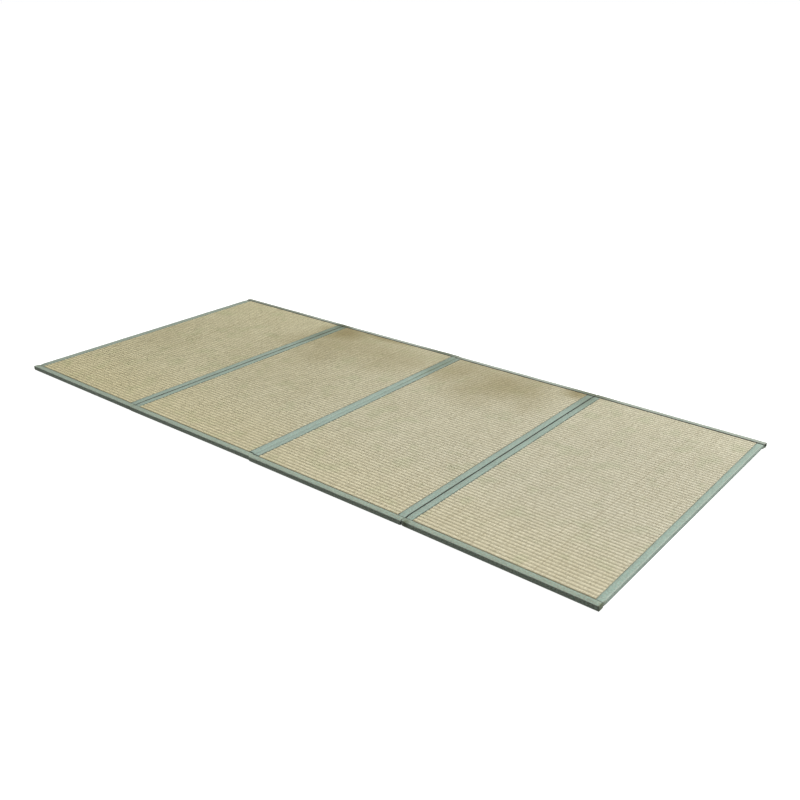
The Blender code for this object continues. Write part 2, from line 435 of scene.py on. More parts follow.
def weaving_tree():
    """Rush stems woven over and under the ribs, as ribbons cut from one fine grid."""
    sizes = ["Left end", "Right end", "Half width", "Left lie", "Lie slope", "Full width"]
    sizes += ["Waist width", "Valley", "Rib height", "Lift", "Tilt", "Shift"]
    tree, size = new_tree("woven_rush", ("Stems", "Ribs", "Seed"), sizes, "Rush")

    def sums(operation, *values):
        return reckon(tree, operation, *values)

    def chance(low, high, identity, turn):
        sockets = {2: low, 3: high, 7: identity, 8: sums("ADD", size["Seed"], turn)}
        return lay_node(tree, "FunctionNodeRandomValue", sockets, data_type="FLOAT").outputs[1]

    def keep(geometry, name, value):
        sockets = {0: geometry, 2: name, 3: value}
        kind = "GeometryNodeStoreNamedAttribute"
        return lay_node(tree, kind, sockets, data_type="FLOAT", domain="POINT").outputs[0]

    columns = sums("MULTIPLY", size["Stems"], 2)
    rows = sums("ADD", sums("MULTIPLY", size["Ribs"], ROWS_PER_WAVE / 2), 1)
    last_column = sums("SUBTRACT", columns, 1)
    last_row = sums("SUBTRACT", rows, 1)
    grid_sizes = {0: last_column, 1: last_row, 2: columns, 3: rows}
    grid = lay_node(tree, "GeometryNodeMeshGrid", grid_sizes).outputs[0]
    point = lay_node(tree, "GeometryNodeInputPosition").outputs[0]
    apart = parts_of(tree, point)
    column = sums("ADD", apart[0], sums("DIVIDE", last_column, 2))
    row = sums("ADD", apart[1], sums("DIVIDE", last_row, 2))

    # The grid's even columns of faces are stems, and the odd ones are cut away.
    gap = sums("GREATER_THAN", sums("MODULO", column, 2), 1)
    cut = {0: grid, 1: gap}
    ribbons = lay_node(tree, "GeometryNodeDeleteGeometry", cut, domain="FACE").outputs[0]

    column = sums("ROUND", column)
    stem = sums("FLOOR", sums("DIVIDE", column, 2))
    side = sums("MULTIPLY_ADD", sums("MODULO", column, 2), 2, -1)
    shifted = sums("MODULO", stem, 2)
    step = sums("SUBTRACT", sums("ROUND", row), shifted)
    wave = sums("FLOOR", sums("DIVIDE", step, ROWS_PER_WAVE))
    phase = sums("SUBTRACT", step, sums("MULTIPLY", wave, ROWS_PER_WAVE))
    crest = sums("LESS_THAN", sums("ABSOLUTE", sums("SUBTRACT", phase, MIDDLE_OF_WAVE)), 1)
    ribs_in = sums("MULTIPLY_ADD", wave, 2, sums("ADD", shifted, FIRST_ROW))
    ribs_in = sums("MULTIPLY_ADD", phase, ROW_STEP, ribs_in)
    ribs_in = sums("MINIMUM", sums("MAXIMUM", ribs_in, 0), size["Ribs"])
    grain = sums("MULTIPLY_ADD", stem, NUMBERS_PER_STEM, wave)

    face_length = sums("SUBTRACT", size["Right end"], size["Left end"])
    pitch = sums("DIVIDE", face_length, size["Stems"])
    wider = sums("MULTIPLY", crest, sums("SUBTRACT", size["Full width"], size["Waist width"]))
    half = sums("DIVIDE", sums("ADD", size["Waist width"], wider), 2)
    wander = sums("MULTIPLY", chance(-1.0, 1.0, grain, 2), sums("MULTIPLY", size["Shift"], crest))
    x = sums("MULTIPLY_ADD", sums("ADD", stem, 0.5), pitch, size["Left end"])
    x = sums("ADD", sums("MULTIPLY_ADD", side, half, x), wander)
    along = sums("DIVIDE", ribs_in, size["Ribs"])
    y = sums("MULTIPLY", sums("MULTIPLY_ADD", along, 2, -1), size["Half width"])
    past_left = sums("SUBTRACT", x, size["Left end"])
    rim = sums("SUBTRACT", size["Half width"], sums("ABSOLUTE", y))
    lie = sums("MULTIPLY_ADD", past_left, size["Lie slope"], size["Left lie"])
    lift = sums("MULTIPLY", chance(-1.0, 1.0, grain, 3), size["Lift"])
    tilt = sums("MULTIPLY", chance(-1.0, 1.0, grain, 4), sums("MULTIPLY", size["Tilt"], side))
    raised = sums("ADD", size["Rib height"], sums("ADD", lift, tilt))
    z = sums("MULTIPLY_ADD", crest, raised, size["Valley"])
    spot = lay_node(tree, "ShaderNodeCombineXYZ", {0: x, 1: sums("ADD", y, lie), 2: z}).outputs[0]

    ribbons = keep(ribbons, "stem_tone", chance(0.0, 1.0, stem, 1))
    ribbons = keep(ribbons, "grain_tone", chance(0.0, 1.0, grain, 6))
    ribbons = keep(ribbons, "across", side)
    ribbons = keep(ribbons, "crest", crest)
    ribbons = keep(ribbons, "rim", rim)
    woven = lay_node(tree, "GeometryNodeSetPosition", {0: ribbons, 2: spot}).outputs[0]
    end_tree(tree, woven, size["Rush"])
    return tree


def grow(name, tree, sizes, start=None):
    """A plain mesh object grown by a node tree from its named sizes."""
    base = start or bpy.data.meshes.new(f"{name}_start")
    seedling = bpy.data.objects.new(f"{name}_seedling", base)
    bpy.context.scene.collection.objects.link(seedling)
    modifier = seedling.modifiers.new("grow", "NODES")
    modifier.node_group = tree
    for item in tree.interface.items_tree:
        if item.in_out == "INPUT" and item.name in sizes:
            modifier[item.identifier] = sizes[item.name]
    depsgraph = bpy.context.evaluated_depsgraph_get()
    mesh = bpy.data.meshes.new_from_object(seedling.evaluated_get(depsgraph), depsgraph=depsgraph)
    seedling.modifiers.remove(modifier)
    bpy.data.objects.remove(seedling)
    mesh.shade_smooth()
    mesh.name = name
    grown = bpy.data.objects.new(name, mesh)
    bpy.context.scene.collection.objects.link(grown)
    return grown


def map_face(face, left):
    """A flat map of a rush face: what shows fills one half, and what runs under the other."""
    mesh = face.data
    points = np.zeros(len(mesh.vertices) * 3)
    mesh.vertices.foreach_get("co", points)
    points = points.reshape(-1, 3)
    crest = np.zeros(len(mesh.vertices), np.float32)
    mesh.attributes["crest"].data.foreach_get("value", crest)
    corners = np.zeros(len(mesh.loops), np.int32)
    mesh.loops.foreach_get("vertex_index", corners)
    under = crest[corners].reshape(-1, 4).max(1) < 0.5
    places = points[corners][:, :2] - (left, -MAT_WIDTH / 2)
    filled = 1 - 2 * MAP_MARGIN
    places = MAP_MARGIN + filled * places / MAT_WIDTH
    places[:, 0] += filled / 2 * np.repeat(under, 4)
    mesh.uv_layers.new(name="OFBake").data.foreach_set("uv", places.ravel())


weaving = weaving_tree()
rush = rush_material()
for number in PANELS:
    left, right = panel_ends[number]
    face_left, face_right = face_ends[number]
    left_lie, right_lie = PANEL_LIE[number]
    slope = (right_lie - left_lie) / (right - left)
    sizes = {
        "Stems": STEMS,
        "Ribs": RIBS,
        "Seed": FACE_SEED + 20 * number,
        "Left end": face_left,
        "Right end": face_right,
        "Half width": FACE_Y,
        "Left lie": left_lie + slope * (face_left - left),
        "Lie slope": slope,
        "Full width": STEM_FULL,
        "Waist width": STEM_WAIST,
        "Valley": RIB_VALLEY,
        "Rib height": RIB_HEIGHT,
        "Lift": GRAIN_LIFT,
        "Tilt": GRAIN_TILT,
        "Shift": GRAIN_SHIFT,
        "Rush": rush,
    }
    face = grow(f"panel_{number}_rush_face", weaving, sizes)
    map_face(face, face_left)
    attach(face, "root")
    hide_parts(f"panel_{number}_rush")


# Short-edge bindings
# A strip of green twill is folded round each panel's two short edges and sewn down just short of
# its inner edge. The strips aren't all cut to one width. Their ends dip under the long strips.
CLOTH = 0.0012
CLEAR = 0.0003
STRIP_TOP = 0.0142
CROWN = 0.0008
TOP_ROUND = 0.0025
CRISP_ROUND = 0.0012
SOFT_ROUND = 0.0045
BOTTOM_ROUND = 0.0030
TUCK = CLOTH + CLEAR
TURN_ROWS = 3
MIDDLE_ROWS = 100
RIM_ROUND = 0.0003
RIM_ANGLE = radians(55)
SHORT_SEED = 100

# How far a strip's face and inner edge wander, and the lengths over which they do.
FACE_WANDER = 0.00014
EDGE_WANDER = 0.00018
WANDER_LENGTHS = (0.31, 0.17, 0.083, 0.041)

# A strip's section: shares of the way beneath it, angles round its lower edge and its fold, and
# how far its face dips below its crown at shares of the way from the fold to the inner edge.
UNDER_SHARES = (0.0, 0.5)
BOTTOM_ANGLES = (270, 240, 210, 180)
FOLD_ANGLE = 135
TOP_ANGLES = (180, 157.5, FOLD_ANGLE, 112.5, 90)
STITCH_SHARE = 0.85
STRIP_PROFILE = dict.fromkeys((0.10, 0.24, 0.40, 0.56, 0.72), 0.0)
STRIP_PROFILE.update({STITCH_SHARE: -0.0004, 0.93: -0.0001, 1.0: -0.0008})
FOLD_COLUMN = len(UNDER_SHARES) + len(BOTTOM_ANGLES) + 1 + TOP_ANGLES.index(FOLD_ANGLE)

# The cloth's colours, and how far from its fold it is worn.
SAGE = (0.45, 0.555, 0.465)
SAGE_IN_JOINT = (0.415, 0.50, 0.42)
# The same cloth painted darker and greyer, as in shade where the light falls off at the left end.
SAGE_LEFT_SHADED = (0.35, 0.385, 0.31)
SAGE_WORN = (0.52, 0.57, 0.49)
TEAL_FLECK = (0.27, 0.49, 0.43)
DARK_SHARE = 0.42
# A dark colour for painted shadow and shade, laid on the cloth in patches.
CLOTH_SHADOW_DARK = (0.085, 0.105, 0.045)
# The dark colour of painted shade in a joint's gap, beside a seam and down a wall.
PAINTED_SHADE_DARK = (0.045, 0.050, 0.040)
WORN_REACH = 0.0030
JOINT_WORN_REACH = 0.0010

# The twill's spacing, the scales of its uneven tones, and how much lines, threads, slubs, flecks
# and dye count in them.
TWILL_PITCH = 0.0011
THREAD_SCALE = 1100.0
SLUB_SCALE = 330.0
FLECK_SCALE = 210.0
DYE_SCALE = 24.0
TEAL_SCALE = 280.0
WALL_FLECK_SCALE = 330.0
TWILL_TONE_START = -0.30
TWILL_TONES = (0.20, 0.30, 0.55, 0.30, 0.40)
TWILL_BUMP = {"Strength": 0.7, "Distance": 0.00025}
TWILL_SURFACE = {
    "Roughness": 0.85,
    "Specular IOR Level": 0.25,
    "Sheen Weight": 0.15,
    "Sheen Roughness": 0.5,
}
LINE_RELIEF = 0.5

# Where a look of the cloth begins and is full, and how strong it is at each end if not 0 and 1.
FLECKED = (0.36, 0.64)
TEAL_FLECKED = (0.46, 0.66, 0.0, 0.45)
FOLD_WEAR_AND_SHADE_SHARE = 0.6
FOLD_WEAR_AND_SHADE_PATCHES = (0.35, 0.65, 0.4, 1.0)
WALL_FLECKED = (0.36, 0.62)
DOWN_WALL = (-0.0006, -0.0016)
IN_GAP = (0.0015, -0.0006)
BESIDE_SEAM = (0.0034, 0.0016)

# How far each meeting's cloth stands out past the panels' solid ends, from left to right.
LOOSE_CLOTH = (0.0022, 0.0, 0.0, 0.0, 0.0008)

# Where the cloth is painted darker: shadow along its back, shade in corners, a crease and a seam.
# Columns: middle X and Y, reach along X and Y, and how strongly.
CLOTH_PAINTED_SHADOWS = (
    (-0.50, 0.00, 0.08, 1.50, 0.15),
    (-0.50, 0.36, 0.07, 0.24, 0.55),
    (-0.50, 0.46, 0.06, 0.12, 1.00),
    (0.00, 0.38, 0.05, 0.20, 0.45),
    (0.00, 0.34, 0.0045, 0.34, 0.85),
    (0.50, 0.42, 0.05, 0.14, 0.40),
    (-0.06, 0.45, 0.13, 0.03, 0.85),
    (0.49, 0.45, 0.12, 0.03, 0.95),
    (-0.88, 0.45, 0.50, 0.04, 0.60),
    (-0.85, -0.432, 0.90, 0.025, 0.22),
    (0.513, -0.45, 0.014, 0.02, 0.80),
    (1.002, -0.444, 0.005, 0.03, 0.95),
)

# Where a short strip goes down under the long ones, as distances from the mat's middle line.
LEVEL_Y = MAT_WIDTH / 2 - LONG_STRIP - 0.0150
TUCK_Y = MAT_WIDTH / 2 - LONG_STRIP - 0.0020
SHOULDER_Y = MAT_WIDTH / 2 - 0.0045
END_Y = MAT_WIDTH / 2 - 0.0028
END_TOP = 0.0102
END_BOTTOM = 0.0026
END_ROUND = 0.0030

# What each short strip meets, from the mat's left end to its right end, and what that makes its
# top, bottom, crown and upper rounding. A strip makes room for a tape sewn over or under it.
MEETINGS = ("end", "tape_below", "tape_above", "tape_below", "end")
SHORT_KINDS = {
    "end": (STRIP_TOP, 0.0, CROWN, CRISP_ROUND),
    "tape_below": (STRIP_TOP, TUCK, CROWN, TOP_ROUND),
    "tape_above": (STRIP_TOP - TUCK, 0.0, 0.0, SOFT_ROUND),
}


def twill_material(name, colour, fold, fold_reach, gap=0.0, seam=0.3, wall=0.0):
    """Cotton twill with diagonal lines, flecks and uneven dye, of another tone at its fold.

    Painted shade darkens it in a joint's gap, beside its seam and down its wall, by these shares.
    Painted shadows darken it in patches.
    """
    material, tree, shader, place = new_material(name)
    cloth = lay_node(tree, "ShaderNodeUVMap", uv_map="Cloth").outputs[0]
    along, around, _ = parts_of(tree, cloth)
    edges = lay_node(tree, "ShaderNodeUVMap", uv_map="Edges").outputs[0]
    past_fold, to_seam, _ = parts_of(tree, edges)
    askew = reckon(tree, "ADD", along, around)
    lines = reckon(tree, "SINE", reckon(tree, "MULTIPLY", askew, 2 * pi / TWILL_PITCH))
    lines = reckon(tree, "MULTIPLY_ADD", lines, 0.5, 0.5)
    threads = speckle(tree, cloth, THREAD_SCALE)
    slubs = speckle(tree, cloth, SLUB_SCALE)
    flecks = between(tree, speckle(tree, cloth, FLECK_SCALE, 1.0), *FLECKED)
    dye = speckle(tree, place, DYE_SCALE, 3.0)
    clouds = speckle(tree, place, CLOUD_SCALE, 3.0)
    uneven = (lines, threads, slubs, flecks, dye)
    tone = add_up(tree, TWILL_TONE_START, uneven, TWILL_TONES)
    dark = tuple(DARK_SHARE * part for part in colour)
    shade = blend_colour(tree, tone, opaque(dark), opaque(colour))
    teal = between(tree, speckle(tree, cloth, TEAL_SCALE, 1.0), *TEAL_FLECKED)
    shade = blend_colour(tree, teal, shade, opaque(TEAL_FLECK))
    # At its fold a strip is paler with wear, while the middle tape is painted dark there, as shade
    # in its crease.
    off_fold = reckon(tree, "ABSOLUTE", past_fold)
    fold_wear_and_shade = between(tree, off_fold, fold_reach, 0.0, 0.0, FOLD_WEAR_AND_SHADE_SHARE)
    fold_wear_and_shade = reckon(tree, "MULTIPLY", fold_wear_and_shade, between(tree, slubs, *FOLD_WEAR_AND_SHADE_PATCHES))
    shade = blend_colour(tree, fold_wear_and_shade, shade, opaque(fold))
    # Painted shadow and shade darken the cloth in patches.
    cloth_in_shadow = painted_shadow_share(tree, place, CLOTH_PAINTED_SHADOWS, clouds)
    shade = blend_colour(tree, cloth_in_shadow, shade, opaque(CLOTH_SHADOW_DARK))
    # Painted shade: darker in flecks down the wall, in a joint's gap and beside the seam.
    wall_flecks = speckle(tree, cloth, WALL_FLECK_SCALE, 1.0)
    down_wall = between(tree, wall_flecks, *WALL_FLECKED, 0.0, wall)
    down_wall = reckon(tree, "MULTIPLY", down_wall, between(tree, past_fold, *DOWN_WALL))
    in_gap = between(tree, past_fold, *IN_GAP, 0.0, gap)
    beside_seam = between(tree, to_seam, *BESIDE_SEAM, 0.0, seam)
    painted_shade_share = reckon(tree, "MAXIMUM", down_wall, reckon(tree, "MAXIMUM", in_gap, beside_seam))
    shade = blend_colour(tree, painted_shade_share, shade, opaque(PAINTED_SHADE_DARK))
    relief = reckon(tree, "MULTIPLY_ADD", lines, LINE_RELIEF, threads)
    finish_shader(tree, shader, shade, relief, TWILL_BUMP, TWILL_SURFACE)
    return material


def waver(along, size, rng):
    """A slow uneven wander along a strip, about this size either way."""
    total = np.zeros_like(along)
    for wavelength in WANDER_LENGTHS:
        total += np.sin(2 * pi * along / wavelength + rng.uniform(0, 2 * pi))
    return size * total / 2


def folded_rows(width, top, bottom, crown, top_round, bottom_round):
    """The outside of a folded strip, row by row, as distances in from the edge and heights."""
    columns = []
    for share in UNDER_SHARES:
        columns.append((width + (bottom_round - width) * share, bottom))
    for angle in np.radians(BOTTOM_ANGLES):
        inward = bottom_round * (1 + np.cos(angle))
        columns.append((inward, bottom + bottom_round * (1 + np.sin(angle))))
    columns.append((0 * top, (bottom + bottom_round + top - top_round) / 2))
    for angle in np.radians(TOP_ANGLES):
        inward = top_round * (1 + np.cos(angle))
        columns.append((inward, top - top_round * (1 - np.sin(angle))))
    for share, dip in STRIP_PROFILE.items():
        rise = crown * np.sin(pi * share) + dip * (crown > 0)
        columns.append((top_round + (width - top_round) * share, top + rise))
    inwards = np.stack([column[0] + 0 * top for column in columns], 1)
    heights = np.stack([column[1] + 0 * top for column in columns], 1)
    return inwards, heights


def way_round(rows):
    """How far each point of a row is round the cloth from the row's first point."""
    steps = np.linalg.norm(np.diff(rows, axis=1), axis=2)
    return np.concatenate([np.zeros((len(rows), 1)), np.cumsum(steps, 1)], 1)


def add_map(mesh, name, values, count):
    """A map over a cloth mesh, from a pair of values for each of its rows' points."""
    layer = mesh.uv_layers.new(name=name)
    for loop in mesh.loops:
        i, j = divmod(loop.vertex_index, count)
        layer.data[loop.index].uv = values[i, j]


def sheet_of_cloth(name, rows, lengths, edges, material, flip):
    """A sheet of twill through rows of points, given the cloth's thickness below them."""
    count = rows.shape[1]
    faces = []
    for i in range(len(rows) - 1):
        for j in range(count - 1):
            first, second = i * count + j, (i + 1) * count + j
            ring = (first, second, second + 1, first + 1)
            faces.append(ring[::-1] if flip else ring)
    made = add_mesh(name, rows.reshape(-1, 3), faces, material)
    along = np.repeat(lengths[:, None], count, 1)
    add_map(made.data, "Cloth", np.stack([along, way_round(rows)], 2), count)
    add_map(made.data, "Edges", edges, count)
    solid = made.modifiers.new("thickness", "SOLIDIFY")
    solid.thickness = CLOTH
    solid.offset = -1.0
    solid.use_even_offset = True
    rim = made.modifiers.new("soft_rim", "BEVEL")
    rim.width = RIM_ROUND
    rim.segments = 2
    rim.limit_method = "ANGLE"
    rim.angle_limit = RIM_ANGLE
    depsgraph = bpy.context.evaluated_depsgraph_get()
    mesh = bpy.data.meshes.new_from_object(made.evaluated_get(depsgraph), depsgraph=depsgraph)
    made.modifiers.clear()
    made.data = mesh
    mesh.name = name
    return made


def strip_edges(rows):
    """How far round a folded strip each point is past the fold, and short of the inner edge."""
    around = way_round(rows)
    past_fold = around - around[:, FOLD_COLUMN:FOLD_COLUMN + 1]
    to_seam = around[:, -1:] - around
    return np.stack([past_fold, to_seam], 2)


def short_strip_rows(number, side, rng):
    """Points of the strip on a panel's left (-1) or right (+1) edge, row by row along Y."""
    meeting = number - 1 if side < 0 else number
    width = SHORT_STRIPS[meeting] + LOOSE_CLOTH[meeting]
    top, bottom, crown, top_round = SHORT_KINDS[MEETINGS[meeting]]
    tucked = STRIP_TOP - TUCK
    y = np.concatenate([
        np.linspace(-END_Y, -SHOULDER_Y, TURN_ROWS)[:-1],
        np.linspace(-SHOULDER_Y, -TUCK_Y, TURN_ROWS)[:-1],
        np.linspace(-TUCK_Y, TUCK_Y, MIDDLE_ROWS),
        np.linspace(TUCK_Y, SHOULDER_Y, TURN_ROWS)[1:],
        np.linspace(SHOULDER_Y, END_Y, TURN_ROWS)[1:],
    ])
    turns = (LEVEL_Y, TUCK_Y, SHOULDER_Y, END_Y)
    wander = waver(y, FACE_WANDER, rng)
    inner = np.interp(abs(y), turns, (1, 0, 0, 0))
    tops = np.interp(abs(y), turns, (top, tucked, tucked, END_TOP)) + wander * inner * (crown > 0)
    bottoms = np.interp(abs(y), turns, (bottom, TUCK, TUCK, END_BOTTOM))
    crowns = np.interp(abs(y), turns, (crown, 0, 0, 0))
    top_rounds = np.interp(abs(y), turns, (top_round, top_round, top_round, END_ROUND))
    inwards, heights = folded_rows(width, tops, bottoms, crowns, top_rounds, BOTTOM_ROUND)
    edge = panel_ends[number][0] if side < 0 else panel_ends[number][1]
    edge += side * LOOSE_CLOTH[meeting]
    from_edge = inwards / width
    inwards = inwards + waver(y, EDGE_WANDER, rng)[:, None] * from_edge
    x = edge - side * inwards
    y_there = y[:, None] + out_of_line(number, x)
    return np.stack([x, y_there, heights], 2), y


# The left end's strip is painted darker and greyer, as in shade.
left_shaded_twill = twill_material("binding_twill_left_shaded", SAGE_LEFT_SHADED, SAGE_WORN, WORN_REACH)
joint_tones = (SAGE_IN_JOINT, SAGE_WORN, JOINT_WORN_REACH)
joint_twill = twill_material("binding_twill_in_joint", *joint_tones, gap=1.0, seam=0.6)
fresh_twill = twill_material("binding_twill", SAGE, SAGE_WORN, WORN_REACH)
short_twills = (left_shaded_twill, joint_twill, joint_twill, joint_twill, fresh_twill)
strip_rows = {}
for number in PANELS:
    for place, side in (("left", -1), ("right", 1)):
        meeting = number - 1 if side < 0 else number
        rng = np.random.default_rng(SHORT_SEED + 10 * number + side)
        rows, lengths = short_strip_rows(number, side, rng)
        name = f"panel_{number}_{place}_binding"
        strip_rows[name] = rows
        twill = short_twills[meeting]
        strip = sheet_of_cloth(f"{name}_cloth", rows, lengths, strip_edges(rows), twill, side < 0)
        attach(strip, "root")
        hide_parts(name)


# Long-edge bindings
# The same strip is folded round each panel's two long edges and sewn last, so that it laps over
# the ends of the short strips. Its own ends are turned in. They meet at the middle joint, and at
# the mat's front left and back right corners they are drawn out into points.
CORNER_ROUND = 0.0012
CORNER_INSET = 0.0004
CORNER_ANGLES = (25, 50, 70, 90)
CORNER_DROP = 0.0005
CORNER_LIFT = 0.0003
POINT_REACH = 0.0045
POINT_LENGTH = 0.0140
MIDDLE_REACH = 0.0008
TURNED_IN = ((0.0006, 0.0030), (0.0001, 0.0014), (0.0, 0.0006), (0.0002, 0.0001))
LONG_ROUND = 0.0014
LONG_STATIONS = 62
LEAST_CROWN = 0.25
CROWN_REACH = 0.012
STEADY_REACH = 0.030
LONG_SEED = 200
# The same cloth: painted darker and warmer in front, as in shade, and paler and greyer at the back,
# as sheen.
FRONT_SAGE_SHADED = (0.415, 0.475, 0.375)
BACK_SAGE_SHEEN = (0.50, 0.525, 0.44)
LONG_WORN_REACH = 0.0020

# The fourth panel's front strip has one slack, rounder corner, at its joint with the third.
SLACK_CORNER_ROUND = 0.0065
SLACK_CORNER_INSET = 0.0024


def corner_stations(round_off):
    """Distances in from a strip's end, and how far its turned-in cloth is drawn in there."""
    curve = round_off * (1 - np.cos(np.radians(CORNER_ANGLES)))
    return list(TURNED_IN) + [(CLOTH / 2 + reach, 0.0) for reach in curve]


def long_strip_rows(number, side, rng):
    """Points of the strip on a panel's front (-1) or back (+1) edge, row by row along X."""
    left, right = panel_ends[number]
    left -= LOOSE_CLOTH[number - 1] + MIDDLE_REACH * (MEETINGS[number - 1] == "tape_above")
    right += LOOSE_CLOTH[number] + MIDDLE_REACH * (MEETINGS[number] == "tape_above")
    slack = number == PANELS[-1] and side < 0
    left_round = SLACK_CORNER_ROUND if slack else CORNER_ROUND
    left_inset = SLACK_CORNER_INSET if slack else CORNER_INSET
    left_end = corner_stations(left_round)
    right_end = corner_stations(CORNER_ROUND)
    middle = np.linspace(left + left_end[-1][0], right - right_end[-1][0], LONG_STATIONS)[1:-1]
    x = np.concatenate([
        [left + reach for reach, drawn in left_end],
        middle,
        [right - reach for reach, drawn in right_end[::-1]],
    ])
    drawn_in = np.zeros_like(x)
    drawn_in[:len(left_end)] = [drawn for reach, drawn in left_end]
    drawn_in[-len(right_end):] = [drawn for reach, drawn in right_end[::-1]]
    near_left = x - left < right - x
    near_end = np.minimum(x - left, right - x)
    swing = np.clip(1 - near_end / np.where(near_left, left_round, CORNER_ROUND), 0, 1)
    corner = 1 - np.sqrt(1 - swing ** 2)
    away = np.clip(near_end / STEADY_REACH, 0, 1)
    tops = STRIP_TOP - CORNER_DROP * corner + waver(x, FACE_WANDER, rng) * away - drawn_in
    bottoms = CORNER_LIFT * corner + drawn_in
    crowns = CROWN * np.clip(near_end / CROWN_REACH, LEAST_CROWN, 1)
    top_rounds = LONG_ROUND - drawn_in / 3
    inwards, heights = folded_rows(LONG_STRIP, tops, bottoms, crowns, top_rounds, BOTTOM_ROUND)
    from_edge = inwards / LONG_STRIP
    inset = np.where(near_left, left_inset, CORNER_INSET) * corner + drawn_in
    wander = waver(x, EDGE_WANDER, rng) * away
    inwards = inwards + inset[:, None] * (1 - from_edge) + wander[:, None] * from_edge
    left_point = -1 * (number == PANELS[0] and side < 0)
    right_point = 1 * (number == PANELS[-1] and side > 0)
    pointed = np.where(near_left, left_point, right_point)
    pointed = pointed * np.clip(1 - near_end / POINT_LENGTH, 0, 1) ** 2
    x_there = x[:, None] + POINT_REACH * pointed[:, None] * np.clip(1 - from_edge, 0, 1)
    y = side * (MAT_WIDTH / 2 - inwards) + out_of_line(number, x_there)
    return np.stack([x_there, y, heights], 2), x


# Painted light: the front strip is darker, with painted shade down its wall, and the back one paler,
# as sheen.
front_tones = (FRONT_SAGE_SHADED, SAGE_WORN, LONG_WORN_REACH)
front_twill = twill_material("front_twill", *front_tones, seam=1.0, wall=0.60)
back_twill = twill_material("back_twill", BACK_SAGE_SHEEN, SAGE_WORN, LONG_WORN_REACH, seam=0.95)
for number in PANELS:
    for place, side in (("front", -1), ("back", 1)):
        rng = np.random.default_rng(LONG_SEED + 10 * number + side)
        rows, lengths = long_strip_rows(number, side, rng)
        name = f"panel_{number}_{place}_binding"
        strip_rows[name] = rows
        edges = strip_edges(rows)
        twill = front_twill if side < 0 else back_twill
        strip = sheet_of_cloth(f"{name}_cloth", rows, lengths, edges, twill, side > 0)
        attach(strip, "root")
        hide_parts(name)
        left, right = panel_ends[number]


# Hinge tapes
# Each joint is hinged by a 37 mm tape of the same twill. The middle tape lies on the faces and
# sinks into the joint. The outer two lie beneath, so their joints show as a dark open line.
TAPE_HALF = 0.0185
TAPE_END_Y = MAT_WIDTH / 2 - LONG_STRIP - 0.0015

# How high the middle tape lies over the strips, at distances from its middle line.
TAPE_GROOVE = {0.0: -0.0022, 0.0025: -0.0009, 0.0050: 0.0, 0.0110: 0.0004, TAPE_HALF: 0.0}
TAPE_STITCH_AT = 0.0163
TAPE_GROOVE_COLUMNS = (0.0, 0.0012, 0.0025, 0.0038, 0.0050)
TAPE_COLUMNS = (*TAPE_GROOVE_COLUMNS, 0.0080, 0.0110, 0.0140, TAPE_STITCH_AT, 0.0176, TAPE_HALF)
TAPE_STITCH_DIP = 0.0002
TAPE_ROWS = 104
TAPE_FACE_WANDER = 0.00010
TAPE_EDGE_WANDER = 0.00015
TAPE_SEED = 300
TAPE_GREEN = (0.42, 0.505, 0.43)
# The middle tape is painted dark along its middle line, as shade in the groove where it sinks.
TAPE_CREASE_SHADE = (0.15, 0.21, 0.18)
CREASE_REACH = 0.0026


def tape_rows(joint, above, rng):
    """Points of a hinge tape's upper side, row by row along Y.

    With them come their Y and how far each is from the tape's middle line and from its edge.
    """
    centre = (panel_ends[joint][1] + panel_ends[joint + 1][0]) / 2
    y = np.linspace(-TAPE_END_Y, TAPE_END_Y, TAPE_ROWS)
    half = np.array(TAPE_COLUMNS)
    across = np.concatenate([-half[:0:-1], half])
    lifts = np.interp(abs(across), list(TAPE_GROOVE), list(TAPE_GROOVE.values())) * above
    lifts = lifts - TAPE_STITCH_DIP * (abs(across) == TAPE_STITCH_AT) * above
    level = STRIP_TOP if above else CLOTH
    ride_up = waver(y, TAPE_FACE_WANDER, rng) * above
    x = centre + np.repeat(across[None, :], len(y), 0)
    x += waver(y, TAPE_EDGE_WANDER, rng)[:, None] * abs(across) / TAPE_HALF
    left_lie = out_of_line(joint, x)
    right_lie = out_of_line(joint + 1, x)
    share = (across > 0) + 0.5 * (across == 0)
    y_there = y[:, None] + left_lie * (1 - share) + right_lie * share
    heights = level + lifts[None, :] + ride_up[:, None]
    edges = np.stack([abs(across), TAPE_HALF - abs(across)], 1)
    edges = np.repeat(edges[None], len(y), 0)
    return np.stack([x, y_there, heights], 2), y, edges


# Its fold tone is painted shade along the tape's middle crease.
hinge_twill = twill_material("hinge_twill", TAPE_GREEN, TAPE_CREASE_SHADE, CREASE_REACH, seam=0.5)
for joint, kind in enumerate(MEETINGS[1:-1], 1):
    rng = np.random.default_rng(TAPE_SEED + joint)
    rows, lengths, edges = tape_rows(joint, kind == "tape_above", rng)
    name = f"hinge_tape_{joint}"
    strip_rows[name] = rows
    tape = sheet_of_cloth(f"{name}_cloth", rows, lengths, edges, hinge_twill, True)
    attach(tape, "root")
    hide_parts(name)


# Sewing
# Every strip and the middle tape are machine-sewn down near their inner edges with a thread
# a shade darker than the cloth: short stitches that sink into it at both ends.
STITCH_PITCH = 0.0042
STITCH_LENGTH = 0.0031
STITCH_THICK = 0.00042
STITCH_LIFT = STITCH_THICK / 6
SEAM_END = 0.004
BEAD = {"Segments": 4, "Rings": 3, "Radius": 0.5}
THREAD = (0.25, 0.32, 0.27)
THREAD_PALER = 1.35
TWIST_SCALE = 2600.0
THREAD_BUMP = {"Strength": 0.5, "Distance": 0.0001}
THREAD_SURFACE = {"Roughness": 0.7}


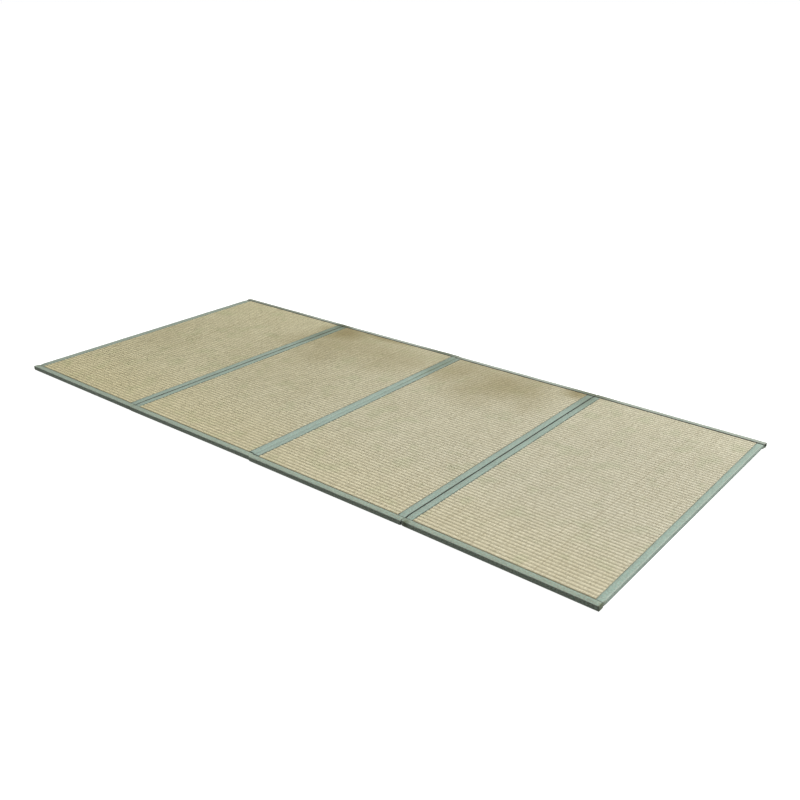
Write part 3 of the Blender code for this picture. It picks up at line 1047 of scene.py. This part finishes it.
def thread_material():
    """Matte sewing thread with a fine twist."""
    material, tree, shader, place = new_material("sewing_thread")
    twist = speckle(tree, place, TWIST_SCALE, 1.0)
    pale = tuple(THREAD_PALER * part for part in THREAD)
    colour = blend_colour(tree, twist, opaque(THREAD), opaque(pale))
    finish_shader(tree, shader, colour, twist, THREAD_BUMP, THREAD_SURFACE)
    return material


def stitching_tree():
    """Short stitches at an even pitch along the lines that the object's edges draw."""
    tree, size = new_tree("stitches", (), ("Pitch", "Length", "Thickness"), "Thread")
    seams = lay_node(tree, "GeometryNodeMeshToCurve", {0: size["Geometry"]}).outputs[0]
    even = lay_node(tree, "GeometryNodeResampleCurve", {0: seams, 3: size["Pitch"]}, mode="LENGTH")
    tangent = lay_node(tree, "GeometryNodeInputTangent").outputs[0]
    turn = lay_node(tree, "FunctionNodeAlignRotationToVector", {2: tangent}, axis="X").outputs[0]
    bead = lay_node(tree, "GeometryNodeMeshUVSphere", BEAD).outputs[0]
    laid = lay_node(tree, "GeometryNodeTransform", {0: bead, 2: (0.0, pi / 2, 0.0)}).outputs[0]
    thick = {0: size["Length"], 1: size["Thickness"], 2: size["Thickness"]}
    form = lay_node(tree, "ShaderNodeCombineXYZ", thick).outputs[0]
    rows = {0: even.outputs[0], 2: laid, 5: turn, 6: form}
    stitches = lay_node(tree, "GeometryNodeInstanceOnPoints", rows).outputs[0]
    end_tree(tree, stitches, size["Thread"])
    return tree


def seam_line(name, column, reach):
    """Points of a seam along a strip, a hair above the cloth.

    The reach is the axis it runs along, its middle on that axis, and how far it goes either way.
    """
    axis, middle, half = reach
    line = strip_rows[name][:, column, :] + (0, 0, STITCH_LIFT)
    return [tuple(point) for point in line if abs(point[axis] - middle) < half]


def sew(name, lines):
    """One mesh of stitches along several seam lines."""
    guide = bpy.data.meshes.new(f"{name}_guide")
    points = [point for line in lines for point in line]
    edges = []
    first = 0
    for line in lines:
        edges += [(i, i + 1) for i in range(first, first + len(line) - 1)]
        first += len(line)
    guide.from_pydata(points, edges, [])
    sizes = {
        "Pitch": STITCH_PITCH,
        "Length": STITCH_LENGTH,
        "Thickness": STITCH_THICK,
        "Thread": thread,
    }
    made = grow(name, stitching, sizes, guide)
    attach(made, "root")


stitching = stitching_tree()
thread = thread_material()
seam_column = list(STRIP_PROFILE).index(STITCH_SHARE) - len(STRIP_PROFILE)
for number in PANELS:
    left, right = panel_ends[number]
    middle = (left + right) / 2
    lines = []
    for place in ("front", "back"):
        reach = (0, middle, (right - left) / 2 - SEAM_END)
        lines.append(seam_line(f"panel_{number}_{place}_binding", seam_column, reach))
    for place, meeting in (("left", number - 1), ("right", number)):
        if MEETINGS[meeting] != "tape_above":
            reach = (1, 0.0, TUCK_Y)
            lines.append(seam_line(f"panel_{number}_{place}_binding", seam_column, reach))
    sew(f"panel_{number}_stitches", lines)
stitched = TAPE_COLUMNS.index(TAPE_STITCH_AT)
tape_seams = (len(TAPE_COLUMNS) - 1 - stitched, len(TAPE_COLUMNS) - 1 + stitched)
tape_lines = [seam_line("hinge_tape_2", column, (1, 0.0, TAPE_END_Y)) for column in tape_seams]
sew("hinge_tape_2_stitches", tape_lines)


# Studio
# A plain white floor, a broad soft light high behind the mat's right end, a weak one low in front
# of its left end, a pale sky that is dimmer from below, and the camera at the front right.
FLOOR_SPAN = 300.0
FLOOR_GREY = (0.45, 0.45, 0.45)
FLOOR_ROUGHNESS = 0.9
FLOOR_GLOW = 0.94
WHITE = (1.0, 1.0, 1.0)
KEY_POWER = 3.1
KEY_SOFTNESS = radians(50)
KEY_FROM = (0.57, 0.50, 1.0)
KEY_DISTANCE = 14.0
FILL_WIDTH = 2.0
FILL_POWER = 8.8
FILL_FROM = (-2.0, -3.0, 0.8)
FILL_AT = (-0.4, -0.45, 0.0)
SKY = (0.27, 0.27, 0.26)
BELOW = (0.20, 0.20, 0.19)
HORIZON = (-0.02, 0.02)
CAMERA_PLACE = (1.6343, -1.7874, 1.0819)
CAMERA_DOWN = 0.41579
CAMERA_TURN = 0.66995
CAMERA_LENS = 41.076
CAMERA_SHIFT = -0.0323
CAMERA_SENSOR = 36.0


def white_floor():
    """A floor that stays nearly white in the mat's shade, and throws no light on the mat."""
    material, _, shader, _ = new_material("white_floor")
    surface = {
        "Base Color": opaque(FLOOR_GREY),
        "Roughness": FLOOR_ROUGHNESS,
        "Specular IOR Level": 0.0,
        "Emission Color": opaque(WHITE),
        "Emission Strength": FLOOR_GLOW,
    }
    set_values(shader, surface)
    half = FLOOR_SPAN / 2
    z = -CLEAR / 2
    corners = [(-half, -half, z), (half, -half, z), (half, half, z), (-half, half, z)]
    floor = add_mesh("floor", corners, [(0, 1, 2, 3)], material)
    floor.visible_diffuse = False


def soft_sky():
    """Pale above and dimmer below for light, and plain white where the camera sees it."""
    world = bpy.data.worlds.new("studio")
    world.use_nodes = True
    tree = world.node_tree
    above = tree.nodes["Background"]
    direction = lay_node(tree, "ShaderNodeTexCoord").outputs["Generated"]
    up = parts_of(tree, direction)[2]
    sky = blend_colour(tree, between(tree, up, *HORIZON), opaque(BELOW), opaque(SKY))
    tree.links.new(sky, above.inputs["Color"])
    white = lay_node(tree, "ShaderNodeBackground", {0: opaque(WHITE), 1: 1.0}).outputs[0]
    seen = lay_node(tree, "ShaderNodeLightPath").outputs["Is Camera Ray"]
    both = lay_node(tree, "ShaderNodeMixShader", {0: seen, 1: above.outputs[0], 2: white}).outputs[0]
    tree.links.new(both, tree.nodes["World Output"].inputs[0])
    bpy.context.scene.world = world


def round_light(name, place, target, width, power):
    """A round soft light at a place, turned towards its target."""
    disk = bpy.data.lights.new(name, "AREA")
    disk.shape = "DISK"
    disk.size = width
    disk.energy = power
    lamp = bpy.data.objects.new(name, disk)
    lamp.location = place
    lamp.rotation_euler = (Vector(place) - Vector(target)).to_track_quat("Z", "Y").to_euler()
    lamp.visible_camera = False
    bpy.context.scene.collection.objects.link(lamp)


def aim_camera():
    """The camera at the mat's front right, looking down at it."""
    lens = bpy.data.cameras.new("camera")
    lens.lens = CAMERA_LENS
    lens.sensor_width = CAMERA_SENSOR
    lens.shift_x = CAMERA_SHIFT
    lens.clip_end = FLOOR_SPAN
    camera = bpy.data.objects.new("camera", lens)
    camera.location = CAMERA_PLACE
    camera.rotation_euler = (pi / 2 - CAMERA_DOWN, 0.0, CAMERA_TURN)
    bpy.context.scene.collection.objects.link(camera)
    bpy.context.scene.camera = camera


white_floor()
soft_sky()
key_place = Vector(KEY_FROM).normalized() * KEY_DISTANCE
key_width = 2 * KEY_DISTANCE * tan(KEY_SOFTNESS / 2)
key_energy = KEY_POWER * pi * (KEY_DISTANCE / cos(KEY_SOFTNESS / 2)) ** 2
round_light("key", key_place, (0.0, 0.0, 0.0), key_width, key_energy)
round_light("fill", FILL_FROM, FILL_AT, FILL_WIDTH, FILL_POWER)
aim_camera()
bpy.context.scene.view_settings.view_transform = "Standard"
